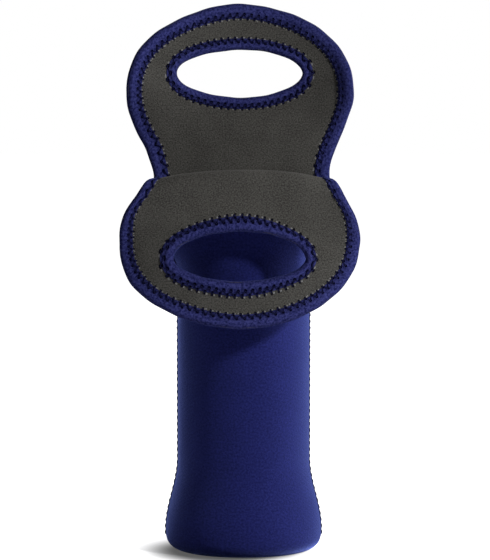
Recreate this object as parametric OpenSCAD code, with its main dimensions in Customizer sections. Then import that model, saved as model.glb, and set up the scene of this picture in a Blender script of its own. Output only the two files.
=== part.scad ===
// Bottle carrier of padded sheet: a round pocket with two flap handles.
// The front flap hangs folded over the pocket and the rear flap stands up.
// Origin: centre of the base on the floor, +Z up, front towards -Y. Lengths in mm, angles in degrees.

/* [Pocket] */
// Inside radius of the pocket
pocket_r = 40.5; // [38:0.5:46]
// Height of the top of the side seams
seam_top = 185; // [150:1:210]
// How far the sides swell out near the base
swell_out = 8.2; // [3:0.1:12]
// Height at which the swell is widest
swell_low = 12; // [11:0.5:25]
// Height at which the swell ends
swell_high = 62; // [40:1:100]
// Radius of the rounded bottom edge
corner_r = 9; // [6:0.5:11]

/* [Padded sheet] */
// Thickness of the knitted outer cover
cover_t = 0.5; // [0.3:0.1:0.8]
// Thickness of the foam
foam_t = 3; // [2:0.25:4]
// Thickness of the knitted lining
lining_t = 0.5; // [0.3:0.1:0.8]

/* [Neck and flaps] */
// Height of the open neck, from the side seams to the fold line
neck_h = 65; // [45:1:80]
// Half width of the sheet at the fold line
neck_half_w = 59.3; // [50:0.1:64]
// Length of sheet that bends in the fold
fold_len = 22.5; // [20:0.1:32]
// Half width of the sheet where the bend ends
fold_half_w = 66.1; // [60:0.1:70]
// Half width of a flap at its widest
flap_half_w = 78.5; // [74:0.1:90]
// Length of a flap, from the bend's end to its rounded top
flap_len = 95.1; // [85:0.1:115]
// Distance from the bend's end to the widest place of a flap
flap_wide_at = 37.7; // [25:0.1:45]

/* [Hand holes] */
// Width of a finished hand hole
hole_w = 87; // [75:0.5:95]
// Height of a finished hand hole
hole_h = 32.4; // [25:0.1:38]
// Distance from the bend's end to the middle of the hole
hole_at = 48; // [44:0.1:54]

/* [Pose of the flaps] */
// Turn of the front flap about its fold, from upright
front_turn = 173.5; // [150:0.5:175]
// Backward lean of the rear flap
rear_lean = 3.5; // [0.5:0.5:5]
// Radius at which the hanging front flap bows
front_bow_r = 290; // [200:10:900]
// Radius at which the upright rear flap bows
rear_bow_r = 190; // [150:10:900]
// Slit between neighbouring parts of a fold
slit = 0.75; // [0.6:0.05:0.95]

/* [Binding tape] */
// Thickness of the binding tape
tape_t = 0.7; // [0.4:0.1:1]
// Width of the tape seen along the outer edges
edge_tape_w = 9.3; // [7:0.1:12]
// Width of the tape seen around the hand holes
hole_tape_w = 7; // [5:0.1:9]
// Clearance between sewn pieces
seat_gap = 0.15; // [0.1:0.05:0.3]

/* [Stitching] */
// Radius of the sewing thread
thread_r = 0.3; // [0.2:0.05:0.5]
// Length of one zigzag along the tapes
tape_pitch = 5.5; // [4:0.1:8]
// Width of the zigzag on the tapes
tape_zigzag_w = 3.2; // [2:0.1:4]
// Length of one zigzag along the side and base seams
seam_pitch = 4.4; // [3:0.1:6]
// Width of the zigzag over the side seams
side_zigzag_w = 4.6; // [3:0.1:6]
// Width of the zigzag over the base seam
base_zigzag_w = 3; // [2:0.1:3.5]
// Length of a bar tack across the top of a side seam
tack_w = 9; // [6:0.5:12]
// Height of a bar tack
tack_h = 2.4; // [1.5:0.1:4]

/* [Hidden] */

// Colours
blue = "#2b2a7c";
thread_blue = "#20205f";
foam_black = "#1d1d1f";
lining_grey = "#454543";

// The two panels: which way each one faces
front = -1;
rear = 1;

// Depths through the sheet, from the outer face of the cover inwards
under_cover = cover_t;
under_foam = cover_t + foam_t;
sheet_t = cover_t + foam_t + lining_t;

// Radii of the pocket's wall
mid_r = pocket_r + sheet_t / 2;
body_r = pocket_r + sheet_t;
swell_r = body_r + swell_out;
base_r = swell_r - corner_r;

// Heights up a panel, measured along the sheet
neck_top = seam_top + neck_h;
bend_top = neck_top + fold_len;
sheet_top = bend_top + flap_len;
hole_v = bend_top + hole_at;
fold_parts = 3;
fold_step = fold_len / fold_parts;

// Half width of a panel at the side seams: half of the pocket's mean girth
seam_half_w = PI / 2 * mid_r;

// Counts of facets
turn_facets = 96;
corner_steps = 6;
swell_steps = 12;
neck_cols = 14;
neck_rows = 7;
neck_tape_parts = 3;
strip_rows = 5;
throat_cols = 8;
side_steps = 6;
crown_steps = 10;

// Curvature below this, per unit of length, counts as straight
straight = 0.0001 / body_r;

// Handles of the flap's outline, as shares of the span that each one shapes
side_handle_share = 0.33;
crown_side_share = 0.68;
crown_top_share = 0.34;
// Exponent of the hand hole's rounded outline, where 2 is an ellipse
hole_roundness = 1.95;

// How far the tape stands off the sheet's faces and edge
tape_seat = seat_gap;
tape_face = seat_gap + tape_t;
// How deep the neck's foot is rooted in the pocket's wall, and how far it stays inside its faces
foot_h = 3 * tape_t;
foot_inset = seat_gap;
// Height above the side seams at which the neck's binding starts
binding_start = seat_gap + 4 * tape_t;
// Distance from a sheet's edge to the middle of the zigzag on its tape
edge_stitch_in = edge_tape_w - tape_zigzag_w / 2 - 2 * thread_r;
hole_stitch_in = hole_tape_w - tape_zigzag_w / 2 - 2 * thread_r;
// Depth of the thread's middle over the tape on the lining side
thread_depth = sheet_t + tape_face + 2 * seat_gap + thread_r;

function mix(a, b, t) = a + (b - a) * t;
function ease(t) = let (s = min(max(t, 0), 1)) s * s * (3 - 2 * s);
function deg(rad) = rad * 180 / PI;
function rad(angle) = angle * PI / 180;

// Outer face of the pocket as [radius, height, outward radius, outward height], from the base edge up
corner_line = [
    for (i = [0 : corner_steps])
        let (a = -90 + 90 * i / corner_steps)
        [base_r + corner_r * cos(a), corner_r + corner_r * sin(a), cos(a), sin(a)]
];
function swell_at(z) = let (t = min(max((z - swell_low) / (swell_high - swell_low), 0), 1))
    body_r + swell_out * (1 + cos(180 * t)) / 2;
function swell_slope(z) = let (t = (z - swell_low) / (swell_high - swell_low))
    t <= 0 || t >= 1 ? 0 : -swell_out * sin(180 * t) * PI / 2 / (swell_high - swell_low);
swell_line = [
    for (i = [0 : swell_steps])
        let (z = mix(swell_low, swell_high, i / swell_steps), m = swell_slope(z), n = sqrt(1 + m * m))
        [swell_at(z), z, 1 / n, -m / n]
];
wall_line = concat(corner_line, swell_line, [[body_r, seam_top, 1, 0]]);
function wall_at(depth) = [for (p = wall_line) [p[0] - depth * p[2], p[1] - depth * p[3]]];
function reversed(list) = [for (i = [len(list) - 1 : -1 : 0]) list[i]];

// Half of the pocket's wall between two depths, on the side that the panel faces
module half_wall(side, outer, inner) {
    rotate([0, 0, side == rear ? 0 : 180])
        rotate_extrude(angle = 180, $fn = turn_facets)
            polygon(concat(wall_at(outer), reversed(wall_at(inner))));
}

// Half width of a panel at height v below the bend's end
function half_w(v) =
    v <= neck_top
        ? mix(seam_half_w, neck_half_w, max(v - seam_top, 0) / neck_h)
        : neck_half_w + (fold_half_w - neck_half_w) * pow((v - neck_top) / fold_len, 2);

// Curvature of a panel across its width at height v, positive where it is hollow towards the pocket
function bow(side, v) =
    v < neck_top
        ? (1 - max(v - seam_top, 0) / neck_h) / mid_r
        : ease((v - bend_top) / hole_at) * (side == front ? -1 / front_bow_r : 1 / rear_bow_r);

// Turn of a panel from upright at height v
function full_turn(side) = side == front ? front_turn : rear_lean;
function turn(side, v) = full_turn(side) * min(max((v - neck_top) / fold_len, 0), 1);

// Middle line of a panel at height v, as [distance out from the axis, height]
function mid_line(side, v) =
    let (a = turn(side, v), bend_r = fold_len / rad(full_turn(side)), past = max(v - bend_top, 0))
    [
        mid_r + bend_r * (1 - cos(a)) + past * sin(a),
        min(v, neck_top) + bend_r * sin(a) + past * cos(a)
    ];

// Place of a point of a panel: u across, v up along the sheet, depth from the cover's outer face
function place(side, u, v, depth) =
    let (
        k = bow(side, v),
        a = deg(k * u),
        e = sheet_t / 2 - depth,
        flat = abs(k) < straight,
        x = (flat ? u : sin(a) / k) + e * sin(a),
        out = (flat ? 0 : -(1 - cos(a)) / k) + e * cos(a),
        lean = turn(side, v),
        c = mid_line(side, v)
    )
    [x, side * (c[0] + out * cos(lean)), c[1] - out * sin(lean)];

// Closed solid between two grids of points, each a list of rows, whose columns may close on themselves.
// Each quad is halved along its shorter diagonal, so faces one above the other are halved alike.
module between(top, bottom, closed = false, flipped = false) {
    rows = len(top);
    cols = len(top[0]);
    size = rows * cols;
    last_col = closed ? cols - 1 : cols - 2;
    points = concat([for (row = top) each row], [for (row = bottom) each row]);
    function at(sheet, r, c) = sheet * size + r * cols + c % cols;
    function apart(a, b) = norm(points[a] - points[b]);
    function halves(a, b, c, d) = apart(a, c) < apart(b, d) ? [[a, b, c], [a, c, d]] : [[a, b, d], [b, c, d]];
    function quad(a, b, c, d) = flipped ? halves(d, c, b, a) : halves(a, b, c, d);
    faces = concat(
        [for (r = [0 : rows - 2]) for (c = [0 : last_col])
            each quad(at(0, r, c), at(0, r + 1, c), at(0, r + 1, c + 1), at(0, r, c + 1))],
        [for (r = [0 : rows - 2]) for (c = [0 : last_col])
            each quad(at(1, r, c), at(1, r, c + 1), at(1, r + 1, c + 1), at(1, r + 1, c))],
        [for (c = [0 : last_col])
            each quad(at(0, 0, c), at(0, 0, c + 1), at(1, 0, c + 1), at(1, 0, c))],
        [for (c = [0 : last_col])
            let (r = rows - 1)
            each quad(at(0, r, c + 1), at(0, r, c), at(1, r, c), at(1, r, c + 1))],
        closed ? [] : [for (r = [0 : rows - 2])
            each quad(at(0, r + 1, 0), at(0, r, 0), at(1, r, 0), at(1, r + 1, 0))],
        closed ? [] : [for (r = [0 : rows - 2])
            each quad(at(0, r, cols - 1), at(0, r + 1, cols - 1), at(1, r + 1, cols - 1), at(1, r, cols - 1))]
    );
    polyhedron(points, faces, convexity = 6);
}

// Thread through a list of rings of four points each
module thread(rings, closed = false, flipped = false) {
    n = len(rings);
    m = len(rings[0]);
    last = closed ? n - 1 : n - 2;
    function at(i, j) = (i % n) * m + j % m;
    function facing(f) = flipped ? reversed(f) : f;
    faces = concat(
        [for (i = [0 : last]) for (j = [0 : m - 1])
            each [facing([at(i, j), at(i + 1, j), at(i + 1, j + 1)]),
                  facing([at(i, j), at(i + 1, j + 1), at(i, j + 1)])]],
        closed ? [] : [facing([for (j = [0 : m - 1]) at(0, j)]),
                       facing([for (j = [m - 1 : -1 : 0]) at(n - 1, j)])]
    );
    polyhedron([for (ring = rings) each ring], faces, convexity = 6);
}

// Heights of a neck's rows over the foot, and the places across it for a half width: the tape covers
// the outer ones
neck_low = seam_top + binding_start;
neck_high = neck_top - slit / 2;
neck_heights = [for (r = [0 : neck_rows]) mix(neck_low, neck_high, r / neck_rows)];
function across_neck(w) = concat(
    [for (i = [0 : neck_tape_parts - 1]) edge_tape_w * i / neck_tape_parts - w],
    [for (i = [0 : neck_cols]) (w - edge_tape_w) * (2 * i / neck_cols - 1)],
    [for (i = [neck_tape_parts - 1 : -1 : 0]) w - edge_tape_w * i / neck_tape_parts]
);

// Neck of a panel between two depths, up to the fold. Its foot is a little thinner and narrower than
// the pocket's wall and is rooted in it, so the flat facets there stay inside the round wall.
module neck(side, outer, inner) {
    facet_dip = body_r * (1 - cos(deg((seam_half_w - edge_tape_w) / neck_cols / mid_r)));
    function grid(depth, inset) = [
        for (v = concat([seam_top - foot_h, seam_top], neck_heights))
            let (in_wall = v <= seam_top)
            [for (u = across_neck(half_w(v) - (in_wall ? foot_inset : 0)))
                place(side, u, v, depth + (in_wall ? inset : 0))]
    ];
    between(grid(outer, foot_inset), grid(inner, -foot_inset / 2 - facet_dip), flipped = side == rear);
}

// One layer of a panel's lower part
module panel_layer(side, outer, inner) {
    half_wall(side, outer, inner);
    neck(side, outer, inner);
}

// One part of a fold: the whole thickness of the sheet between two slits
module fold_part(side, i) {
    low = neck_top + fold_step * (i - 1) + slit / 2;
    high = neck_top + fold_step * i - slit / 2;
    function grid(depth) = [
        for (r = [0 : strip_rows])
            let (v = mix(low, high, r / strip_rows))
            [place(side, -half_w(v), v, depth), place(side, half_w(v), v, depth)]
    ];
    between(grid(0), grid(sheet_t), flipped = side == rear);
}

// Right side of the flap's outline as [u, v], from the bend's end to the middle of the top
flap_low = bend_top + slit / 2;
function curve(p0, p1, p2, p3, t) =
    let (s = 1 - t) s * s * s * p0 + 3 * s * s * t * p1 + 3 * s * t * t * p2 + t * t * t * p3;
flap_start = [fold_half_w, flap_low];
flap_widest = [flap_half_w, bend_top + flap_wide_at];
flap_crown = [0, sheet_top];
side_rise = flap_widest[1] - flap_low;
throat_slope = 2 * (fold_half_w - neck_half_w) / fold_len;
side_part = [
    for (i = [0 : side_steps - 1])
        curve(flap_start,
            flap_start + side_rise * side_handle_share * [throat_slope, 1],
            flap_widest - [0, side_rise * side_handle_share],
            flap_widest, i / side_steps)
];
crown_part = [
    for (i = [0 : crown_steps])
        curve(flap_widest,
            flap_widest + [0, (sheet_top - flap_widest[1]) * crown_side_share],
            flap_crown + [flap_half_w * crown_top_share, 0],
            flap_crown, i / crown_steps)
];
right_side = concat(side_part, crown_part);
left_side = [for (i = [len(right_side) - 2 : -1 : 0]) [-right_side[i][0], right_side[i][1]]];
// Free edge of the flap, from the right of the bend over the top to its left
flap_edge = concat(right_side, left_side);
// Whole outline of the flap, with the edge along the bend
flap_outline = concat(flap_edge, [
    for (i = [1 : throat_cols - 1]) [mix(-fold_half_w, fold_half_w, i / throat_cols), flap_low]
]);

// Outward direction of the free edge at its point i
function unit(v) = v / norm(v);
function edge_out(line, i) =
    i == 0 ? [1, 0]
    : i == len(line) - 1 ? [-1, 0]
    : let (d = unit(line[i + 1] - line[i - 1])) [d[1], -d[0]];

// Point of the hand hole's outline at an angle, moved outwards by w from the finished opening
function hole_point(angle, w) =
    let (
        ca = abs(cos(angle)) / (hole_w / 2 + w),
        sa = abs(sin(angle)) / (hole_h / 2 + w),
        r = pow(pow(ca, hole_roundness) + pow(sa, hole_roundness), -1 / hole_roundness)
    )
    [r * cos(angle), hole_v + r * sin(angle)];
hole_angles = [for (p = flap_outline) atan2(p[1] - hole_v, p[0])];

// Rings of a flap's grid between its outline and its hole: the inner edges of the two tapes
low_ring = flap_low + edge_tape_w / 2;
edge_ring = concat(
    [for (i = [0 : len(flap_edge) - 1])
        let (p = flap_edge[i] - edge_tape_w * edge_out(flap_edge, i))
        [p[0], max(p[1], low_ring)]],
    [for (i = [1 : throat_cols - 1])
        [(fold_half_w - edge_tape_w) * (2 * i / throat_cols - 1), low_ring]]
);
hole_ring = [for (a = hole_angles) hole_point(a, tape_face)];
hole_outs = [for (a = hole_angles) (hole_point(a, 0) - hole_point(a, tape_face)) / tape_face];
flap_rings = [
    hole_ring,
    hole_ring - hole_tape_w * hole_outs,
    edge_ring,
    flap_outline
];

// One layer of a flap, with its hand hole
module flap_layer(side, outer, inner) {
    function grid(depth) = [for (ring = flap_rings) [for (p = ring) place(side, p[0], p[1], depth)]];
    between(grid(outer), grid(inner), closed = true, flipped = side == front);
}

// Folded tape along a list of points [u, v] with their outward directions. Each of its two faces has
// that many parts across its width.
module tape(side, points, outs, tape_w, closed = false, flipped = false, parts = 1) {
    function profile(off) = concat(
        [for (i = [0 : parts]) [mix(-tape_w, off, i / parts), -off]],
        [for (i = [0 : parts]) [mix(off, -tape_w, i / parts), sheet_t + off]]
    );
    function grid(profile) = [
        for (q = profile)
            [for (i = [0 : len(points) - 1])
                let (p = points[i] + q[0] * outs[i])
                place(side, p[0], p[1], q[1])]
    ];
    between(grid(profile(tape_face)), grid(profile(tape_seat)), closed = closed, flipped = flipped);
}

// Tape along both edges of a panel between two heights
module edge_tapes(side, low, high, rows, parts = 1) {
    for (hand = [-1, 1]) {
        points = [for (i = [0 : rows]) let (v = mix(low, high, i / rows)) [hand * half_w(v), v]];
        outs = [for (p = points) [hand, 0]];
        tape(side, points, outs, edge_tape_w, flipped = side * hand == -1, parts = parts);
    }
}

// Point at a length s along a line of points
function step_at(line, i) = norm(line[i % len(line)] - line[i - 1]);
function lengths(line, closed = false) =
    let (last = len(line) - (closed ? 0 : 1))
    [for (i = 0, s = 0; i <= last; i = i + 1, s = i <= last ? s + step_at(line, i) : s) s];
function along(line, sums, s, i = 0) =
    i >= len(sums) - 2 || sums[i + 1] >= s
        ? mix(line[i % len(line)], line[(i + 1) % len(line)], (s - sums[i]) / (sums[i + 1] - sums[i]))
        : along(line, sums, s, i + 1);

// Zigzag of thread that runs along two lines of points in turn, on the lining side of a panel
module zigzag(side, inner_line, outer_line, pitch, closed = false, flipped = false) {
    inner_sums = lengths(inner_line, closed);
    outer_sums = lengths(outer_line, closed);
    inner_len = inner_sums[len(inner_sums) - 1];
    outer_len = outer_sums[len(outer_sums) - 1];
    turns = max(2, round(outer_len / pitch)) * 2;
    last = closed ? turns - 1 : turns;
    rings = [
        for (i = [0 : last])
            let (
                a = along(inner_line, inner_sums, inner_len * i / turns),
                b = along(outer_line, outer_sums, outer_len * i / turns),
                p = i % 2 == 0 ? a : b,
                across = unit(b - a) * thread_r * 2
            )
            [
                place(side, p[0] - across[0], p[1] - across[1], thread_depth),
                place(side, p[0], p[1], thread_depth + thread_r),
                place(side, p[0] + across[0], p[1] + across[1], thread_depth),
                place(side, p[0], p[1], thread_depth - thread_r)
            ]
    ];
    thread(rings, closed = closed, flipped = flipped);
}

// Zigzags on the two tapes of a neck
module neck_zigzags(side) {
    low = neck_low + 2 * thread_r;
    high = neck_high - 2 * thread_r;
    function line(hand, inset) = [
        for (i = [0 : neck_rows])
            let (v = mix(low, high, i / neck_rows))
            [hand * (half_w(v) - inset), v]
    ];
    for (hand = [-1, 1]) {
        inner_line = line(hand, edge_stitch_in + tape_zigzag_w / 2);
        outer_line = line(hand, edge_stitch_in - tape_zigzag_w / 2);
        zigzag(side, inner_line, outer_line, tape_pitch, flipped = side * hand == -1);
    }
}

// Zigzag on the tape around a flap's free edge
module flap_zigzag(side) {
    function line(inset) = [
        for (i = [0 : len(flap_edge) - 1])
            let (p = flap_edge[i] - inset * edge_out(flap_edge, i), lift = 2 * thread_r)
            [p[0], max(p[1], flap_low + lift)]
    ];
    zigzag(side, line(edge_stitch_in + tape_zigzag_w / 2), line(edge_stitch_in - tape_zigzag_w / 2),
        tape_pitch, flipped = side == front);
}

// Zigzag on the tape around a hand hole
module hole_zigzag(side) {
    function line(w) = [for (a = hole_angles) hole_point(a, tape_face + w)];
    zigzag(side, line(hole_stitch_in - tape_zigzag_w / 2), line(hole_stitch_in + tape_zigzag_w / 2),
        tape_pitch, closed = true, flipped = side == front);
}

module flap_binding(side) {
    tape(side, flap_edge, [for (i = [0 : len(flap_edge) - 1]) edge_out(flap_edge, i)], edge_tape_w,
        flipped = side == front);
}

module hole_binding(side) {
    tape(side, hole_ring, hole_outs, hole_tape_w, closed = true, flipped = side == rear);
}

// Zigzag over a side seam, on the outside of the pocket
module side_zigzag(hand) {
    low = corner_r;
    high = seam_top - 2 * tack_h - thread_r * 2;
    turns = round((high - low) / seam_pitch) * 2;
    function on_wall(across, z, off) =
        let (r = swell_at(z) + off, a = deg(across / swell_at(z)))
        [hand * r * cos(a), r * sin(a), z];
    lift = seat_gap + thread_r;
    rings = [
        for (i = [0 : turns])
            let (z = mix(low, high, i / turns), c = (i % 2 == 0 ? -1 : 1) * side_zigzag_w / 2)
            [
                on_wall(c - 2 * thread_r, z, lift), on_wall(c, z, lift + thread_r),
                on_wall(c + 2 * thread_r, z, lift), on_wall(c, z, lift - thread_r)
            ]
    ];
    thread(rings, flipped = hand == -1);
}

// Bar of close stitches across the top of a side seam
module bar_tack(hand) {
    low = seam_top - 2 * tack_h;
    steps = 6;
    function grid(off) = [
        for (z = [low, low + tack_h])
            [for (i = [0 : steps])
                let (a = deg(mix(-tack_w / 2, tack_w / 2, i / steps) / body_r), r = body_r + seat_gap + off)
                [hand * r * cos(a), r * sin(a), z]]
    ];
    between(grid(2 * thread_r), grid(0), flipped = hand == -1);
}

// Round disc of the base between two heights
module base_disc(low, high) {
    translate([0, 0, low])
        cylinder(r = base_r - seat_gap, h = high - low, $fn = turn_facets);
}

module front_cover() { color(blue) panel_layer(front, 0, under_cover); }
module front_foam() { color(foam_black) panel_layer(front, under_cover, under_foam); }
module front_lining() { color(lining_grey) panel_layer(front, under_foam, sheet_t); }
module rear_cover() { color(blue) panel_layer(rear, 0, under_cover); }
module rear_foam() { color(foam_black) panel_layer(rear, under_cover, under_foam); }
module rear_lining() { color(lining_grey) panel_layer(rear, under_foam, sheet_t); }
module base_cover() { color(blue) base_disc(0, under_cover); }
module base_foam() { color(foam_black) base_disc(under_cover, under_foam); }
module base_lining() { color(lining_grey) base_disc(under_foam, sheet_t); }
module side_seam_left() { color(thread_blue) side_zigzag(-1); }
module side_seam_right() { color(thread_blue) side_zigzag(1); }
module bar_tack_left() { color(thread_blue) bar_tack(-1); }
module bar_tack_right() { color(thread_blue) bar_tack(1); }

// Zigzag inside the pocket that joins the base to the wall
module base_seam() {
    turns = round(2 * PI * base_r / seam_pitch) * 2;
    inner_corner_r = corner_r - sheet_t;
    half = base_zigzag_w / 2;
    rise = inner_corner_r - sqrt(inner_corner_r * inner_corner_r - half * half);
    lift = sheet_t + seat_gap + thread_r;
    function on_base(off, a, up) = [(base_r + off) * cos(a), (base_r + off) * sin(a), lift + up];
    rings = [
        for (i = [0 : turns - 1])
            let (a = 360 * i / turns, c = i % 2 == 0 ? -half : half, up = i % 2 == 0 ? 0 : rise + thread_r)
            [
                on_base(c - 2 * thread_r, a, up), on_base(c, a, up + thread_r),
                on_base(c + 2 * thread_r, a, up + thread_r), on_base(c, a, up - thread_r)
            ]
    ];
    color(thread_blue) thread(rings, closed = true);
}

module neck_binding(side) {
    color(blue) edge_tapes(side, neck_low, neck_high, neck_rows, neck_tape_parts);
}
module fold_binding(side, i) {
    low = neck_top + fold_step * (i - 1) + slit / 2;
    high = neck_top + fold_step * i - slit / 2;
    color(blue) edge_tapes(side, low, high, strip_rows);
}
module front_neck_binding() { neck_binding(front); }
module rear_neck_binding() { neck_binding(rear); }
module front_neck_stitch() { color(thread_blue) neck_zigzags(front); }
module rear_neck_stitch() { color(thread_blue) neck_zigzags(rear); }

module front_fold_1() { color(lining_grey) fold_part(front, 1); }
module front_fold_2() { color(lining_grey) fold_part(front, 2); }
module front_fold_3() { color(lining_grey) fold_part(front, 3); }
module front_fold_binding_1() { fold_binding(front, 1); }
module front_fold_binding_2() { fold_binding(front, 2); }
module front_fold_binding_3() { fold_binding(front, 3); }
module rear_fold_1() { color(lining_grey) fold_part(rear, 1); }
module rear_fold_2() { color(lining_grey) fold_part(rear, 2); }
module rear_fold_3() { color(lining_grey) fold_part(rear, 3); }
module rear_fold_binding_1() { fold_binding(rear, 1); }
module rear_fold_binding_2() { fold_binding(rear, 2); }
module rear_fold_binding_3() { fold_binding(rear, 3); }

module front_flap_cover() { color(blue) flap_layer(front, 0, under_cover); }
module front_flap_foam() { color(foam_black) flap_layer(front, under_cover, under_foam); }
module front_flap_lining() { color(lining_grey) flap_layer(front, under_foam, sheet_t); }
module front_flap_binding() { color(blue) flap_binding(front); }
module front_flap_stitch() { color(thread_blue) flap_zigzag(front); }
module front_hole_binding() { color(blue) hole_binding(front); }
module front_hole_stitch() { color(thread_blue) hole_zigzag(front); }
module rear_flap_cover() { color(blue) flap_layer(rear, 0, under_cover); }
module rear_flap_foam() { color(foam_black) flap_layer(rear, under_cover, under_foam); }
module rear_flap_lining() { color(lining_grey) flap_layer(rear, under_foam, sheet_t); }
module rear_flap_binding() { color(blue) flap_binding(rear); }
module rear_flap_stitch() { color(thread_blue) flap_zigzag(rear); }
module rear_hole_binding() { color(blue) hole_binding(rear); }
module rear_hole_stitch() { color(thread_blue) hole_zigzag(rear); }

front_cover();
front_foam();
front_lining();
rear_cover();
rear_foam();
rear_lining();
base_cover();
base_foam();
base_lining();
side_seam_left();
side_seam_right();
base_seam();
bar_tack_left();
bar_tack_right();
front_neck_binding();
front_neck_stitch();
rear_neck_binding();
rear_neck_stitch();
front_fold_1();
front_fold_2();
front_fold_3();
front_fold_binding_1();
front_fold_binding_2();
front_fold_binding_3();
front_flap_cover();
front_flap_foam();
front_flap_lining();
front_flap_binding();
front_flap_stitch();
front_hole_binding();
front_hole_stitch();
rear_fold_1();
rear_fold_2();
rear_fold_3();
rear_fold_binding_1();
rear_fold_binding_2();
rear_fold_binding_3();
rear_flap_cover();
rear_flap_foam();
rear_flap_lining();
rear_flap_binding();
rear_flap_stitch();
rear_hole_binding();
rear_hole_stitch();
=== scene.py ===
"""Looks of the bottle carrier: its padded sheet, bindings and stitches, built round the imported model.

Sizes and places on the pattern are in millimetres, as in the part's source. Meshes are made in metres.
On the pattern, u runs across a panel, v up along it, and depth inwards from the cover's outer face.
"""
import math
from collections import namedtuple

import bpy
import numpy as np
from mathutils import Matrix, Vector


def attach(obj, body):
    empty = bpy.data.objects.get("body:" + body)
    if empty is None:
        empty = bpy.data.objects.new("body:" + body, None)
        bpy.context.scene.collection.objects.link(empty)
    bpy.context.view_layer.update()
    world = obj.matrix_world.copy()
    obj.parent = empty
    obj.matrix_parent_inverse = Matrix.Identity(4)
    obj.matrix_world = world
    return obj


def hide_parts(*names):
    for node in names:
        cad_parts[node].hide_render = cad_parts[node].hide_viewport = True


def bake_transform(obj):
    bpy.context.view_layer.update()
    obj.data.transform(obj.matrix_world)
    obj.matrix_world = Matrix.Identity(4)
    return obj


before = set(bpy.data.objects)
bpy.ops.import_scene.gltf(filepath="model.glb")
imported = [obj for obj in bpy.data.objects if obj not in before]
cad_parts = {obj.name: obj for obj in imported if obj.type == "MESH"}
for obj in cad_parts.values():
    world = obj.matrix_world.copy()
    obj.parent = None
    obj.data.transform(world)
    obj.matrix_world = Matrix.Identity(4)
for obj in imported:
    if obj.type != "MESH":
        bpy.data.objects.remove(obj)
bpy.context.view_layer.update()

MM = 0.001
TINY = 1e-6
FRONT, REAR = -1, 1
LEFT, RIGHT = -1, 1
SIDE_NAME = {FRONT: "front", REAR: "rear"}
HAND_NAME = {LEFT: "left", RIGHT: "right"}

# Sizes that the part's source gives
POCKET_R = 40.5
SEAM_TOP = 185
SWELL_OUT = 8.2
SWELL_LOW = 12
SWELL_HIGH = 62
CORNER_R = 9
SHEET_T = 4
NECK_H = 65
NECK_HALF_W = 59.3
FOLD_LEN = 22.5
FOLD_HALF_W = 66.1
FLAP_HALF_W = 78.5
FLAP_LEN = 95.1
FLAP_WIDE_AT = 37.7
HOLE_W = 87
HOLE_H = 32.4
HOLE_AT = 48
FRONT_TURN = 173.5
REAR_LEAN = 3.5
FRONT_BOW_R = 290
REAR_BOW_R = 190
TAPE_FACE = 0.85
EDGE_TAPE_W = 9.3
HOLE_TAPE_W = 7
TAPE_PITCH = 5.5
SEAM_PITCH = 4.4
SIDE_ZIGZAG_W = 4.6
BASE_ZIGZAG_W = 3
TACK_W = 9
TACK_H = 2.4
FOLD_PARTS = 3
HOLE_ROUNDNESS = 1.95
SIDE_HANDLE_SHARE = 0.33
CROWN_SIDE_SHARE = 0.68
CROWN_TOP_SHARE = 0.34

# Sizes worked out from them
MID_R = POCKET_R + SHEET_T / 2
BODY_R = POCKET_R + SHEET_T
BASE_R = BODY_R + SWELL_OUT - CORNER_R
NECK_TOP = SEAM_TOP + NECK_H
BEND_TOP = NECK_TOP + FOLD_LEN
SHEET_TOP = BEND_TOP + FLAP_LEN
WIDEST_V = BEND_TOP + FLAP_WIDE_AT
HOLE_V = BEND_TOP + HOLE_AT
SEAM_HALF_W = math.pi / 2 * MID_R
CORNER_START = CORNER_R - CORNER_R * math.pi / 2
FULL_TURN = {FRONT: math.radians(FRONT_TURN), REAR: math.radians(REAR_LEAN)}

# Where a panel is cut into pieces: half way between its bending lines
FOLD_STEP = FOLD_LEN / FOLD_PARTS
BEND_V = [NECK_TOP + FOLD_STEP * i for i in range(FOLD_PARTS + 1)]
CUT_V = [v + FOLD_STEP / 2 for v in BEND_V[:-1]]

# Depth at which the cover's skin meets the lining's, and the gap between them
SKIN_T = 2.0
SKIN_GAP = 0.02
# Share of the neck's height over which the round of the pocket starts to flatten
NECK_EASE = 0.2

# How far the front fold and its flap hang lower at SAG_AT_U than in their middle, and the most they do
SAG_FOLD = 7.4
SAG_FLAP = 2.2
SAG_AT_U = 60
SAG_START = 195
SAG_LIMIT = 10

# The carrier's small pull to the left, at heights on the pattern
CROWN_V = 345
SHIFT_V = (SEAM_TOP, NECK_TOP, BEND_TOP, WIDEST_V, CROWN_V, SHEET_TOP)
SHIFT_X = (0, -1.2, -1.4, -2.6, -2.2, -1.7)
# Where the soft sheet stretches or pulls in sideways: side, hand, height over the bend, reach and amount
STRETCHES = (
    (FRONT, LEFT, 9, 17, 3.4),
    (FRONT, LEFT, 76, 20, 1.5),
    (FRONT, RIGHT, 70, 20, -1.5),
    (FRONT, RIGHT, 13, 20, 1.5),
    (REAR, LEFT, -12, 12, 1.9),
    (REAR, RIGHT, 13, 14, -1.4),
)
# The place across where it does so by that amount, and the share of that place up to which it grows
STRETCH_AT_U = 66
STRETCH_LIMIT = 1.15

# The cover's pinch and puckers along a side seam, how far they reach, and the height over which they fade
SEAM_PINCH = 0.1
PINCH_REACH = 1.5
SEAM_PUFF = 0.3
PUFF_REACH = 1.9
SEAM_FADE = 6

# Soft waves of the sheet: height, and the lengths across and up over which they turn by one radian
WAVE = 0.35
LONG_WAVE = (19, 27)
SHORT_WAVE = (11, 17)
SHORT_WAVE_SHARE = 0.5
# The long wave comes and goes up the sheet
LONG_WAVE_SWELL = 33
LONG_WAVE_START = 0.7
# The pocket's share of them, the height over which they grow, and how far from the side seams they start
POCKET_WAVE_SHARE = 0.4
WAVE_GROWTH = 40
WAVE_FROM_SEAM = 12

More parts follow.
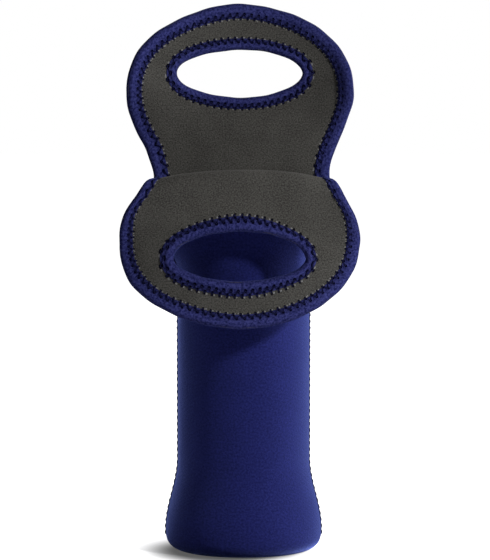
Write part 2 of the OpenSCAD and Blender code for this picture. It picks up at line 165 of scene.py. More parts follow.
# The front flap's tapes. Round its hand hole the tape is wider above and below, and uneven at both ends
HOLE_TAPE_LONG_SHARE = 0.32
HOLE_TAPE_LEFT_SHARE = 0.1
HOLE_TAPE_RIGHT_SHARE = -0.14
# Along its edge the tape is narrower, most of all where it rolls over just past the bend
EDGE_TAPE_SHARE = 0.93
ROLL_SHARE = 0.27
ROLL_AT = 6
ROLL_REACH = 17

# Stitches of the tapes
THREAD_R = 0.34
THREAD_SIDES = 6
HOLE_STITCH_PITCH = 4.5
# They reach this far past the tape onto the cloth. From OFF_TAPE outwards they lie higher, on the tape
PAST_TAPE = 0.7
OFF_TAPE = 0.75
TAPE_RISE = 0.55
ZIGZAG_OUT = 6.4
HOLE_ZIGZAG_OUT = 4.4
# Height of a stitch over the cloth at shares of its length
STITCH_SHARE = np.array([0, 0.07, 0.2, 0.5, 0.8, 0.93, 1])
STITCH_RISE = np.array([-0.35, 0.12, 0.3, 0.36, 0.3, 0.12, -0.35])

# Stitches of the side seams, where every second one stands up further, of the bar tacks and of the base
SEAM_THREAD_R = 0.5
SEAM_STITCH_RISE = (1.25, 0.1)
SEAM_END_GAP = 1
TACK_WRAPS = 22
TACK_RISE = 1.3
TACK_SLANT = 0.2
TACK_THREAD_R = THREAD_R * 0.85
BASE_STITCH_LIFT = 0.1

# How finely lines and meshes are made: steps in millimetres, and counts
LINE_STEP = 0.55
EDGE_STEP = 0.5
SIDE_POINTS = 80
CROWN_POINTS = 160
HOLE_POINTS = 720
COLS = 96
CORNER_ROWS = 15
POCKET_STEP = {"cover": 0.74, "lining": 3}
NECK_STEP = 1.4
BEND_STEP = 0.5
FINE_UNDER_BEND = 4
STRIP_OVER_BEND = 7
STRIP_ROWS = 22
RING_STEP = 1.5
FLAP_BANDS = 30
# How much closer the columns lie at both edges of a panel
CROWDING = 0.18


def clamp01(t):
    return np.clip(t, 0, 1)


def ease(t):
    s = clamp01(t)
    return s * s * (3 - 2 * s)


def mix(a, b, t):
    return a + (b - a) * t


def hump(t):
    """A round hump, 1 high at 0 and gone by about 2."""
    return np.exp(-(t**2))


# The pocket's wall


def wall(v):
    """Radius, height and outward direction of the wall's outer face at v."""
    a = -np.pi / 2 * (1 - clamp01((v - CORNER_START) / (CORNER_R - CORNER_START)))
    low = v < CORNER_R
    t = clamp01((v - SWELL_LOW) / (SWELL_HIGH - SWELL_LOW))
    r = BODY_R + SWELL_OUT * (1 + np.cos(np.pi * t)) / 2
    slope = -SWELL_OUT * np.sin(np.pi * t) * np.pi / 2 / (SWELL_HIGH - SWELL_LOW)
    n = np.sqrt(1 + slope * slope)
    return (
        np.where(low, BASE_R + CORNER_R * np.cos(a), r),
        np.where(low, CORNER_R + CORNER_R * np.sin(a), v),
        np.where(low, np.cos(a), 1 / n),
        np.where(low, np.sin(a), -slope / n),
    )


# The panel's pattern


def half_w(v):
    """Half width of a panel at v, up to the widest place of its flap."""
    neck = mix(SEAM_HALF_W, NECK_HALF_W, clamp01((v - SEAM_TOP) / NECK_H))
    fold = NECK_HALF_W + (FOLD_HALF_W - NECK_HALF_W) * ((v - NECK_TOP) / FOLD_LEN) ** 2
    flap = np.interp(v, SIDE_PART[:, 1], SIDE_PART[:, 0])
    return np.where(v <= NECK_TOP, neck, np.where(v <= BEND_TOP, fold, flap))


def bezier(p0, p1, p2, p3, count):
    t = np.linspace(0, 1, count)[:, None]
    s = 1 - t
    p0, p1, p2, p3 = (np.array(p, float) for p in (p0, p1, p2, p3))
    return s**3 * p0 + 3 * s * s * t * p1 + 3 * s * t * t * p2 + t**3 * p3


THROAT_SLOPE = 2 * (FOLD_HALF_W - NECK_HALF_W) / FOLD_LEN
SIDE_HANDLE = (WIDEST_V - BEND_TOP) * SIDE_HANDLE_SHARE
SIDE_PART = bezier(
    (FOLD_HALF_W, BEND_TOP),
    (FOLD_HALF_W + SIDE_HANDLE * THROAT_SLOPE, BEND_TOP + SIDE_HANDLE),
    (FLAP_HALF_W, WIDEST_V - SIDE_HANDLE),
    (FLAP_HALF_W, WIDEST_V),
    SIDE_POINTS,
)
CROWN_PART = bezier(
    (FLAP_HALF_W, WIDEST_V),
    (FLAP_HALF_W, mix(WIDEST_V, SHEET_TOP, CROWN_SIDE_SHARE)),
    (FLAP_HALF_W * CROWN_TOP_SHARE, SHEET_TOP),
    (0, SHEET_TOP),
    CROWN_POINTS,
)


def mirrored(right):
    """A line up the right half of a panel and down the left one."""
    return np.vstack([right, right[-2::-1] * (-1, 1)])


def points_at(line, run, at):
    """Points of a line at lengths along it."""
    return np.stack([np.interp(at, run, line[:, i]) for i in range(2)], 1)


def resample(line, step, closed=False):
    """Points at equal steps along a line, with their length along it, and its whole length."""
    if closed:
        line = np.vstack([line, line[:1]])
    run = np.concatenate([[0], np.cumsum(np.linalg.norm(np.diff(line, axis=0), axis=1))])
    at = np.linspace(0, run[-1], max(2, round(run[-1] / step)) + 1)
    if closed:
        at = at[:-1]
    return points_at(line, run, at), at, run[-1]


def outward(line, closed=False):
    """Direction to the right of a line's course at each point."""
    if closed:
        d = np.roll(line, -1, 0) - np.roll(line, 1, 0)
    else:
        d = np.gradient(line, axis=0)
    d /= np.linalg.norm(d, axis=1)[:, None]
    return np.stack([d[:, 1], -d[:, 0]], 1)


def hole_points(a):
    """The sheet's edge at the hand hole, at angles about its middle. The tape's face lies inside it."""
    c = np.abs(np.cos(a)) / (HOLE_W / 2 + TAPE_FACE)
    s = np.abs(np.sin(a)) / (HOLE_H / 2 + TAPE_FACE)
    r = (c**HOLE_ROUNDNESS + s**HOLE_ROUNDNESS) ** (-1 / HOLE_ROUNDNESS)
    return np.stack([r * np.cos(a), HOLE_V + r * np.sin(a)], 1)


# A tape with its stitches: kind, its line's points, outward directions, lengths along it and whole length,
# its width, and the stitches' pitch and how far in from the line they start and end
Trim = namedtuple("Trim", "kind points out run length tape_w pitch zigzag_in zigzag_out")


def make_trim(kind, line, tape_w, pitch, zigzag_out, closed=False):
    """Trim along a line. A closed one goes round an opening, which is then its outward side."""
    points, run, length = resample(line, LINE_STEP, closed)
    out = outward(points, closed) * (-1 if closed else 1)
    pitch = length / round(length / pitch)
    return Trim(kind, points, out, run, length, tape_w, pitch, tape_w + PAST_TAPE, zigzag_out)


NECK_V = np.arange(SEAM_TOP, BEND_TOP, EDGE_STEP)
RIGHT_EDGE = np.vstack([np.stack([half_w(NECK_V), NECK_V], 1), SIDE_PART, CROWN_PART[1:]])
HOLE_LINE = hole_points(np.linspace(0, 2 * np.pi, HOLE_POINTS, endpoint=False))
EDGE_TRIM = make_trim("edge", mirrored(RIGHT_EDGE), EDGE_TAPE_W, TAPE_PITCH, ZIGZAG_OUT)
HOLE_TRIM = make_trim("hole", HOLE_LINE, HOLE_TAPE_W, HOLE_STITCH_PITCH, HOLE_ZIGZAG_OUT, closed=True)


def tape_share(trim, side, u, v):
    """Width of a tape at places, as a share of its usual width."""
    if side == REAR:
        return np.ones(np.shape(u))
    if trim is EDGE_TRIM:
        return EDGE_TAPE_SHARE - ROLL_SHARE * hump((np.asarray(v) - BEND_TOP - ROLL_AT) / ROLL_REACH)
    a = np.arctan2(np.asarray(v) - HOLE_V, u)
    left, right = clamp01(-np.cos(a)) ** 4, clamp01(np.cos(a)) ** 4
    ends = HOLE_TAPE_LEFT_SHARE * left + HOLE_TAPE_RIGHT_SHARE * right
    return 1 + HOLE_TAPE_LONG_SHARE * np.abs(np.sin(a)) ** 1.5 + ends


# The panel in space


def bow(side, v):
    """How much a panel curves sideways at v: round as the pocket, flat at the bend, bowed at the flap."""
    t = clamp01((v - SEAM_TOP) / NECK_H)
    eased = np.where(t < NECK_EASE, t * t / (2 * NECK_EASE), t - NECK_EASE / 2)
    neck = (1 - eased / (1 - NECK_EASE / 2)) / MID_R
    flap = ease((v - BEND_TOP) / HOLE_AT) * (-1 / FRONT_BOW_R if side == FRONT else 1 / REAR_BOW_R)
    return np.where(v < NECK_TOP, neck, flap)


def wave(side, u, v):
    """Gentle unevenness of the soft sheet."""
    swell = np.sin(v / LONG_WAVE_SWELL + LONG_WAVE_START)
    long = np.sin(u / LONG_WAVE[0] + v / LONG_WAVE[1] + side) * swell
    short = SHORT_WAVE_SHARE * np.sin(u / SHORT_WAVE[0] - v / SHORT_WAVE[1] + 2 * side)
    return WAVE * (long + short)


def seam_relief(u, v):
    """The cover's pinch and puckers along a side seam."""
    d = SEAM_HALF_W - np.abs(u)
    fade = 1 - ease((v - SEAM_TOP) / SEAM_FADE)
    puff = 0.5 + 0.5 * np.cos(2 * np.pi * v / SEAM_PITCH)
    return fade * (SEAM_PUFF * puff * hump(d / PUFF_REACH) - SEAM_PINCH * hump(d / PINCH_REACH))


def middle(side, v):
    """A panel's middle line at v: its turn from upright, how far out it lies, and its height."""
    full = FULL_TURN[side]
    turn = full * clamp01((v - NECK_TOP) / FOLD_LEN)
    bend_r = FOLD_LEN / full
    past = np.maximum(v - BEND_TOP, 0)
    out = MID_R + bend_r * (1 - np.cos(turn)) + past * np.sin(turn)
    height = np.minimum(v, NECK_TOP) + bend_r * np.sin(turn) + past * np.cos(turn)
    return turn, out, height


def place(side, u, v, depth):
    """Points in millimetres of the panel's places u, v at a depth."""
    u, v, depth = np.broadcast_arrays(*(np.asarray(x, float) for x in (u, v, depth)))
    up = ease((v - SEAM_TOP) / WAVE_GROWTH)
    off = wave(side, u, v) * mix(POCKET_WAVE_SHARE, 1, up)
    off = off * ease((SEAM_HALF_W - np.abs(u)) / WAVE_FROM_SEAM + up)
    skin = 1 - clamp01(depth / SKIN_T)
    relief_top = SEAM_TOP + SEAM_FADE
    off = off + seam_relief(u, np.minimum(v, relief_top)) * skin * (v < relief_top)

    r, z, nr, nz = wall(np.minimum(v, SEAM_TOP))
    r, z = r - (depth - off) * nr, z - (depth - off) * nz
    a = u / MID_R
    low = np.stack([r * np.sin(a), side * r * np.cos(a), z], -1)

    k = bow(side, v)
    flat = np.abs(k) < TINY
    k = np.where(flat, 1, k)
    a = np.where(flat, 0, k * u)
    e = SHEET_T / 2 - depth + off
    x = np.where(flat, u, np.sin(a) / k) + e * np.sin(a)
    out = np.where(flat, 0, -(1 - np.cos(a)) / k) + e * np.cos(a)
    turn, middle_out, height = middle(side, v)
    high = np.stack([x, side * (middle_out + out * np.cos(turn)), height - out * np.sin(turn)], -1)

    p = np.where((v < SEAM_TOP)[..., None], low, high)
    p[..., 0] += np.interp(v, SHIFT_V, SHIFT_X)
    for which, hand, over_bend, reach, amount in STRETCHES:
        if which == side:
            share = np.clip(hand * u / STRETCH_AT_U, 0, STRETCH_LIMIT) ** 2
            p[..., 0] += hand * amount * share * hump((v - BEND_TOP - over_bend) / reach)
    return p


def sag(side, u, v):
    """How far the ends of the front fold hang below its middle."""
    if side == REAR:
        return np.zeros_like(u * v)
    rise = SAG_FOLD * ease((v - SAG_START) / (NECK_TOP - SAG_START))
    fall = mix(1, SAG_FLAP / SAG_FOLD, ease((v - BEND_TOP) / HOLE_AT))
    return np.minimum(rise * fall * (u / SAG_AT_U) ** 2, SAG_LIMIT)


# Meshes

# Faces that meet at a larger angle, in degrees, form a crisp rim
RIM_ANGLE = 52
# Millimetres of cloth, and of thread, that are one unit of the weave's map
CLOTH_UNIT = 100
THREAD_UNIT = 10
# How far up the weave's map the rear panel lies, so that it isn't the front one's copy
REAR_CLOTH_V = 400
# A mesh point's distances in from the tapes' lines and lengths along them, for the stitches' marks
FACTS = ("edge_in", "edge_run", "hole_in", "hole_run")
FAR = 99.0
# Points that nearest() measures in one go
CHUNK = 4000


def grid_faces(rows, cols, wrap=False):
    """Quads between the points of a grid. With wrap, the last point of a row joins the first."""
    r = np.arange(rows - 1)[:, None] * cols
    c = np.arange(cols if wrap else cols - 1)[None, :]
    n = (c + 1) % cols
    corners = np.broadcast_arrays(r + c, r + n, r + cols + n, r + cols + c)
    return np.stack(corners, -1).reshape(-1, 4)


def volume(co, faces):
    total = 0.0
    for i in range(1, faces.shape[1] - 1):
        a, b, c = co[faces[:, 0]], co[faces[:, i]], co[faces[:, i + 1]]
        total += np.einsum("ij,ij->i", a, np.cross(b, c)).sum()
    return total / 6


def double_areas(u, v, faces):
    """Twice the area of each face's first three corners' triangle, below 0 if it runs clockwise."""
    a, b, c = faces[:, 0], faces[:, 1], faces[:, 2]
    return (u[b] - u[a]) * (v[c] - v[a]) - (u[c] - u[a]) * (v[b] - v[a])


def shell(low, high, faces):
    """A sheet's two faces joined along its edges into one closed solid."""
    n = len(low)
    pairs = np.stack([faces, np.roll(faces, -1, 1)], -1).reshape(-1, 2).tolist()
    known = {tuple(p) for p in pairs}
    rim = np.array([p for p in pairs if (p[1], p[0]) not in known])
    walls = np.stack([rim[:, 1], rim[:, 0], rim[:, 0] + n, rim[:, 1] + n], 1)
    return np.vstack([low, high]), np.vstack([faces, faces[:, ::-1] + n, walls])


def no_facts(count):
    """Facts of points that lie far from every tape."""
    return {key: np.full(count, FAR) for key in FACTS}


def hang(piece, lowered):
    """Lets a piece sag: lowers its points by the given millimetres."""
    group = piece.vertex_groups.new(name="sag")
    for i, weight in enumerate((lowered / SAG_LIMIT).tolist()):
        if weight > 0:
            group.add([i], weight, "REPLACE")
    drop = piece.modifiers.new("sag", "DISPLACE")
    drop.direction = "Z"
    drop.mid_level = 0
    drop.strength = -SAG_LIMIT * MM
    drop.vertex_group = "sag"


def make(name, co, faces, uv, finish, lowered=None, facts=None):
    """A mesh object from points in millimetres. A face that repeats a corner is a triangle."""
    if volume(co, faces) < 0:
        faces = faces[:, ::-1]
    listed = [list(dict.fromkeys(face)) for face in faces.tolist()]
    mesh = bpy.data.meshes.new(name)
    mesh.from_pydata((co * MM).tolist(), [], listed)
    mesh.polygons.foreach_set("use_smooth", [True] * len(listed))
    mesh.set_sharp_from_angle(angle=math.radians(RIM_ANGLE))
    layer = mesh.uv_layers.new(name="cloth")
    loops = np.array([i for face in listed for i in face])
    layer.data.foreach_set("uv", uv[loops].astype(np.float32).ravel())
    for key, values in (facts or {}).items():
        mesh.attributes.new(key, "FLOAT", "POINT").data.foreach_set("value", values.astype(np.float32))
    mesh.materials.append(cloths[finish].material)
    piece = bpy.data.objects.new(name, mesh)
    bpy.context.scene.collection.objects.link(piece)
    if lowered is not None and lowered.max() > 0:
        hang(piece, lowered)
    return piece


def bend(piece):
    """Bakes a piece's placing into its mesh."""
    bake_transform(piece)


def nearest(u, v, trim):
    """Distance of each point from a tape's line, and the length along it of the nearest place."""
    far, at = np.empty(len(u)), np.empty(len(u))
    for i in range(0, len(u), CHUNK):
        part = slice(i, i + CHUNK)
        d = np.hypot(u[part, None] - trim.points[None, :, 0], v[part, None] - trim.points[None, :, 1])
        j = d.argmin(1)
        far[part], at[part] = d[np.arange(len(j)), j], trim.run[j]
    return far, at


def sheet_piece(name, side, u, v, faces, depths, finish):
    """One skin of a panel: the closed solid between two depths."""
    co, all_faces = shell(place(side, u, v, depths[0]), place(side, u, v, depths[1]), faces)
    edge, edge_run = nearest(u, v, EDGE_TRIM)
    edge = np.where(v < SEAM_TOP, FAR, edge) / tape_share(EDGE_TRIM, side, u, v)
    hole, hole_run = nearest(u, v, HOLE_TRIM)
    hole = hole / tape_share(HOLE_TRIM, side, u, v)
    facts = {key: np.tile(values, 2) for key, values in zip(FACTS, (edge, edge_run, hole, hole_run))}
    cloth_v = v + (REAR_CLOTH_V if side == REAR else 0)
    uv = np.tile(np.stack([u, cloth_v], 1) / CLOTH_UNIT, (2, 1))
    return make(name, co, all_faces, uv, finish, np.tile(sag(side, u, v), 2), facts)


def strip_pattern(rows):
    """Grid over the panel's whole width at the heights of the rows, with columns closer at both edges."""
    w = np.linspace(-1, 1, COLS)
    w = (1 + CROWDING) * w - CROWDING * w**3
    v = np.repeat(rows, COLS)
    u = (half_w(rows)[:, None] * w[None, :]).ravel()
    return u, v, grid_faces(len(rows), COLS)


def flap_pattern():
    """The flap with its hole: rings from the hole out to the edge, over a strip along the bend."""
    strip_top = BEND_TOP + STRIP_OVER_BEND
    u0, v0, f0 = strip_pattern(np.linspace(CUT_V[-1], strip_top, STRIP_ROWS))
    above = RIGHT_EDGE[:, 1] > strip_top + TINY
    right = np.vstack([[half_w(strip_top), strip_top], RIGHT_EDGE[above]])
    arc = resample(mirrored(right), RING_STEP)[0]
    bottom = np.stack([u0[-COLS:], v0[-COLS:]], 1)
    ring = np.vstack([arc, bottom[1:-1]])
    around = len(ring)
    inner = hole_points(np.arctan2(ring[:, 1] - HOLE_V, ring[:, 0]))
    rings = mix(inner[None], ring[None], np.linspace(0, 1, FLAP_BANDS)[:, None, None])
    u1, v1 = rings[..., 0].ravel(), rings[..., 1].ravel()
    # The last ring's points on the strip's top row are the strip's own
    n0, n1 = len(u0), len(u1)
    index = np.arange(n1) + n0
    last = n1 - around
    top_row = np.arange(n0 - COLS, n0)
    index[last + len(arc) - 1] = top_row[0]
    index[last] = top_row[-1]
    index[last + len(arc) :] = top_row[1:-1]
    f1 = index[grid_faces(FLAP_BANDS, around, wrap=True)]
    u, v = np.concatenate([u0, u1]), np.concatenate([v0, v1])
    if double_areas(u, v, f0).sum() * double_areas(u, v, f1).sum() < 0:
        f1 = f1[:, ::-1]
    # Only the points in use are kept, in their order
    used = np.concatenate([np.arange(n0), index[index >= n0]])
    order = -np.ones(n0 + n1, int)
    order[used] = np.arange(len(used))
    return u[used], v[used], order[np.vstack([f0, f1])]


# Tape

# The bead round the sheet's edge: how far its centre lies in from the edge, how far its arc stands over the
# tape's face and is flattened, its points, and its share of the puff
BEAD_IN = 2.1
BEAD_OVER = 0.2
BEAD_FLAT = 0.1
BEAD_POINTS = 11
BEAD_PUFF_SHARE = 0.25
# The tape's inner face: its gap to the sheet, and how far it reaches past the edge and ends before the tape
INNER_GAP = 0.06
INNER_PAST = 0.1
INNER_SHORT = 0.3
INNER_POINTS = 4
# Between stitches the tape puffs up, and at each it is drawn down by the drop
PUFF_RISE = 0.18
PUFF_DROP = 0.34
# The tape's line swings a little: how far, and the length over which it turns by one radian
SLOW_SWING = (0.22, 9.7)
QUICK_SWING = (0.12, 3.1)
# Further in than this the tape's width varies, and further in than that it swings less
VARIES_FROM = 2
SWINGS_LESS_FROM = 3
FLAT_SWING_SHARE = 0.6


def tape_profile(tape_w):
    """Cross-section of a folded tape as [outwards from the sheet's edge, depth, share of the puff]."""
    side_in = [
        (-tape_w, -0.12, 0),
        (-tape_w, -0.42, 0.3),
        (-tape_w + 0.45, -0.6, 0.6),
        (-tape_w + 1.5, -0.4, 1),
        (-tape_w + 2.6, -0.42, 1),
        (-tape_w * 0.55, -0.75, 0.8),
        (-tape_w * 0.38, -1.1, 0.4),
    ]
    side_out = [(q, SHEET_T - d, s) for q, d, s in side_in[::-1]]
    r = SHEET_T / 2 + TAPE_FACE + BEAD_OVER
    bead = [
        (-BEAD_IN + (r - BEAD_FLAT) * math.sin(a), SHEET_T / 2 - r * math.cos(a), BEAD_PUFF_SHARE)
        for a in np.linspace(0, math.pi, BEAD_POINTS)
    ]
    end = -tape_w + INNER_SHORT
    inner = [
        (end, SHEET_T + INNER_GAP, 0),
        (INNER_PAST, SHEET_T + INNER_GAP, 0),
        (INNER_PAST, -INNER_GAP, 0),
        (end, -INNER_GAP, 0),
    ]
    return np.array(side_in + bead + side_out + inner)


def cap_faces(cols, first, flip):
    """Faces that close a tape's cross-section: its outer line against its inner corners."""
    outer = cols - INNER_POINTS
    side_points = (outer - BEAD_POINTS) // 2
    stops = [0, side_points - 1, outer - side_points, outer - 1]
    corners = [outer + i for i in reversed(range(INNER_POINTS))]
    faces = []
    for k in range(INNER_POINTS - 1):
        part = range(stops[k], stops[k + 1] + 1)
        a, b = corners[k], corners[k + 1]
        half = len(part) // 2
        for i in range(len(part) - 1):
            hub = a if i < half else b
            faces.append([part[i], part[i + 1], hub, hub])
        faces.append([part[half], b, a, a])
    return np.array([face[::-1] if flip else face for face in faces]) + first


def tape_piece(name, side, trim, spans=()):
    """Tape along one or more spans of its line. Without spans it goes all the way round."""
    section = tape_profile(trim.tape_w)
    over, deep, loose = (section[None, :, i] for i in range(3))
    outer_side = np.where(deep < SHEET_T / 2, -1, 1)
    cross = np.concatenate([[0], np.cumsum(np.hypot(*np.diff(section[:, :2], axis=0).T))])
    cols = len(section)
    parts, start = [], 0
    for span in spans or [slice(None)]:
        line, n, s = trim.points[span], trim.out[span], trim.run[span]
        rows = len(s)
        width = tape_share(trim, side, line[:, 0], line[:, 1])
        pucker = 0.5 + 0.5 * np.cos(2 * np.pi * s / trim.pitch)[:, None]
        depth = deep + outer_side * loose * (PUFF_RISE - PUFF_DROP * pucker)
        swing = SLOW_SWING[0] * np.sin(s / SLOW_SWING[1] + side)[:, None]
        swing = swing + QUICK_SWING[0] * np.sin(s / QUICK_SWING[1])[:, None]
        q = over * np.where(over < -VARIES_FROM, width[:, None], 1)
        q = q + np.where(over > -SWINGS_LESS_FROM, swing, FLAT_SWING_SHARE * swing)
        u, v = line[:, None, 0] + q * n[:, None, 0], line[:, None, 1] + q * n[:, None, 1]
        co = place(side, u, v, depth).reshape(-1, 3)
        if spans:
            low = sag(side, u.ravel(), v.ravel())
            ends = [cap_faces(cols, 0, False), cap_faces(cols, (rows - 1) * cols, True)]
            faces = np.vstack([grid_faces(rows, cols, wrap=True), *ends])
        else:
            low = sag(side, np.repeat(line[:, 0], cols), np.repeat(line[:, 1], cols))
            faces = grid_faces(rows + 1, cols, wrap=True) % (rows * cols)
        uv = np.stack([np.repeat(s, cols), np.tile(cross, rows)], 1) / CLOTH_UNIT
        inset = np.tile(-section[:, 0], rows)
        parts.append((co, faces + start, uv, low, inset, np.repeat(s, cols)))
        start += len(co)
    co, faces, uv, low, inset, run = (np.concatenate(values) for values in zip(*parts))
    facts = no_facts(len(co)) | {trim.kind + "_in": inset, trim.kind + "_run": run}
    return make(name, co, faces, uv, "binding_tape", low, facts)


# Thread

# The share of its radius that a thread has at both ends, and a direction for a thread that has no plane
THREAD_END_SHARE = 0.6
ANY_WAY = (0.3, 0.5, 0.81)


def tube(paths, radius, sides):
    """Closed tubes along many paths of equal count: points, faces and places along them."""
    paths = np.asarray(paths, float)
    n, m, _ = paths.shape
    d = np.gradient(paths, axis=1)
    d /= np.linalg.norm(d, axis=2)[..., None] + 1e-12
    ref = np.broadcast_to(paths[:, -1:] - paths[:, :1], d.shape)
    lift = np.cross(ref, paths[:, m // 2 : m // 2 + 1] - (paths[:, :1] + paths[:, -1:]) / 2)
    a = np.cross(d, lift)
    bad = np.linalg.norm(a, axis=2) < 1e-9
    a[bad] = np.cross(d[bad], ANY_WAY)
    a /= np.linalg.norm(a, axis=2)[..., None]
    b = np.cross(d, a)
    t = np.linspace(0, 2 * np.pi, sides, endpoint=False)
    taper = np.ones(m)
    taper[0] = taper[-1] = THREAD_END_SHARE
    ring = a[:, :, None] * np.cos(t)[None, None, :, None] + b[:, :, None] * np.sin(t)[None, None, :, None]
    co = (paths[:, :, None] + radius * taper[None, :, None, None] * ring).reshape(-1, 3)
    last = (m - 1) * sides
    ends = [[0, i, i + 1, i + 1] for i in range(1, sides - 1)]
    ends += [[last, last + i + 1, last + i, last + i] for i in range(1, sides - 1)]
    one = np.vstack([grid_faces(m, sides, wrap=True), np.array(ends)])
    faces = (one[None] + (np.arange(n) * m * sides)[:, None, None]).reshape(-1, 4)
    along = np.cumsum(np.linalg.norm(np.diff(paths, axis=1, prepend=paths[:, :1]), axis=2), 1)
    uv = np.stack([np.repeat(along.ravel(), sides), np.tile(t, n * m)], 1) / THREAD_UNIT
    return co, faces, uv


def thread_piece(name, paths, lowered=None, radius=THREAD_R):
    co, faces, uv = tube(paths, radius, THREAD_SIDES)
    if lowered is not None:
        lowered = np.repeat(lowered.ravel(), THREAD_SIDES)
    return make(name, co, faces, uv, "thread", lowered)


def stitch_piece(name, side, trim, low=-math.inf, high=math.inf):
    """Zigzag stitches of a tape on both faces of the sheet, for the stretch between two heights."""
    turns = 2 * round(trim.length / trim.pitch)
    at = np.linspace(0, trim.length, turns + 1)
    line, out, run = trim.points, trim.out, trim.run
    if trim is HOLE_TRIM:
        line, out, run = np.vstack([line, line[:1]]), np.vstack([out, out[:1]]), np.append(run, trim.length)
    p, n = points_at(line, run, at), points_at(out, run, at)
    inset = np.where(np.arange(turns + 1) % 2 == 0, trim.zigzag_in, trim.zigzag_out)
    p = p - n * (inset * tape_share(trim, side, p[:, 0], p[:, 1]))[:, None]
    paths, places = [], []
    for face in (-1, 1):
        for i in range(turns):
            a, b = p[i], p[i + 1]
            if not low <= (a[1] + b[1]) / 2 < high:
                continue
            on_tape = mix(inset[i], inset[i + 1], STITCH_SHARE) < trim.zigzag_in - OFF_TAPE
            height = STITCH_RISE + np.where(on_tape, TAPE_RISE, 0)
            u, v = mix(a[0], b[0], STITCH_SHARE), mix(a[1], b[1], STITCH_SHARE)
            paths.append(place(side, u, v, -height if face < 0 else SHEET_T + height))
            places.append((u, v))
    u, v = np.array(places).transpose(1, 0, 2)
    return thread_piece(name, paths, sag(side, u, v))


def zigzag(start, end, length, width):
    """Stitches of a zigzag along a seam of that length: each one's places along and across the seam."""
    at = np.linspace(start, end, 2 * round(length / SEAM_PITCH) + 1)
    across = np.where(np.arange(len(at)) % 2 == 0, -1, 1) * width / 2
    return [
        (mix(at[i], at[i + 1], STITCH_SHARE), mix(across[i], across[i + 1], STITCH_SHARE))
        for i in range(len(at) - 1)
    ]


# Materials

# Loops of the knit, as scales of the wave texture: 0.7 mm across and 0.9 mm along
KNIT_ACROSS = 45
KNIT_ALONG = 35
# How uneven the loops are
KNIT_UNEVEN = 0.6
KNIT_UNEVEN_SCALE = 2
# Roughness of the fine noise, and the broad noise's scale as a share of the fine one's
FINE_ROUGHNESS = 0.65
BROAD_SHARE = 0.05
# Shares of the fine noise, the broad noise and the knit in the weave's tone, with the tone's middle value
TONE_SHARES = (1.2, 0.2, 0.12)
MEAN_TONE = 0.725
# Shares of the fine noise and the knit in the weave's height, and that height in metres
HEIGHT_SHARES = (0.8, 0.4)
WEAVE_HEIGHT = 0.0004
SHEEN_ROUGHNESS = 0.4
BLUE_SHEEN = (0.25, 0.34, 1.0)
GREY_SHEEN = (1.0, 0.98, 0.95)
# How crisp the edges of the stitches' marks are
MARK_CRISPNESS = 2.2
RANGE_INPUTS = ("From Min", "From Max", "To Min", "To Max")


def set_inputs(node, inputs):
    """Gives a node's inputs plain values, or links them from other nodes' outputs."""
    for key, value in dict(inputs).items():
        if isinstance(value, bpy.types.NodeSocket):
            node.id_data.links.new(value, node.inputs[key])
        else:
            node.inputs[key].default_value = value


def add_node(tree, kind, inputs=(), **settings):
    node = tree.nodes.new("ShaderNode" + kind)
    for key, value in settings.items():
        setattr(node, key, value)
    set_inputs(node, inputs)
    return node


def add_math(tree, operation, a, b, clamp=False):
    return add_node(tree, "Math", {0: a, 1: b}, operation=operation, use_clamp=clamp).outputs[0]


def add_range(tree, value, *limits, **settings):
    """A value mapped from its two limits to 0 and 1, or to the two values that follow them."""
    inputs = {"Value": value, **dict(zip(RANGE_INPUTS, limits))}
    return add_node(tree, "MapRange", inputs, **settings).outputs["Result"]


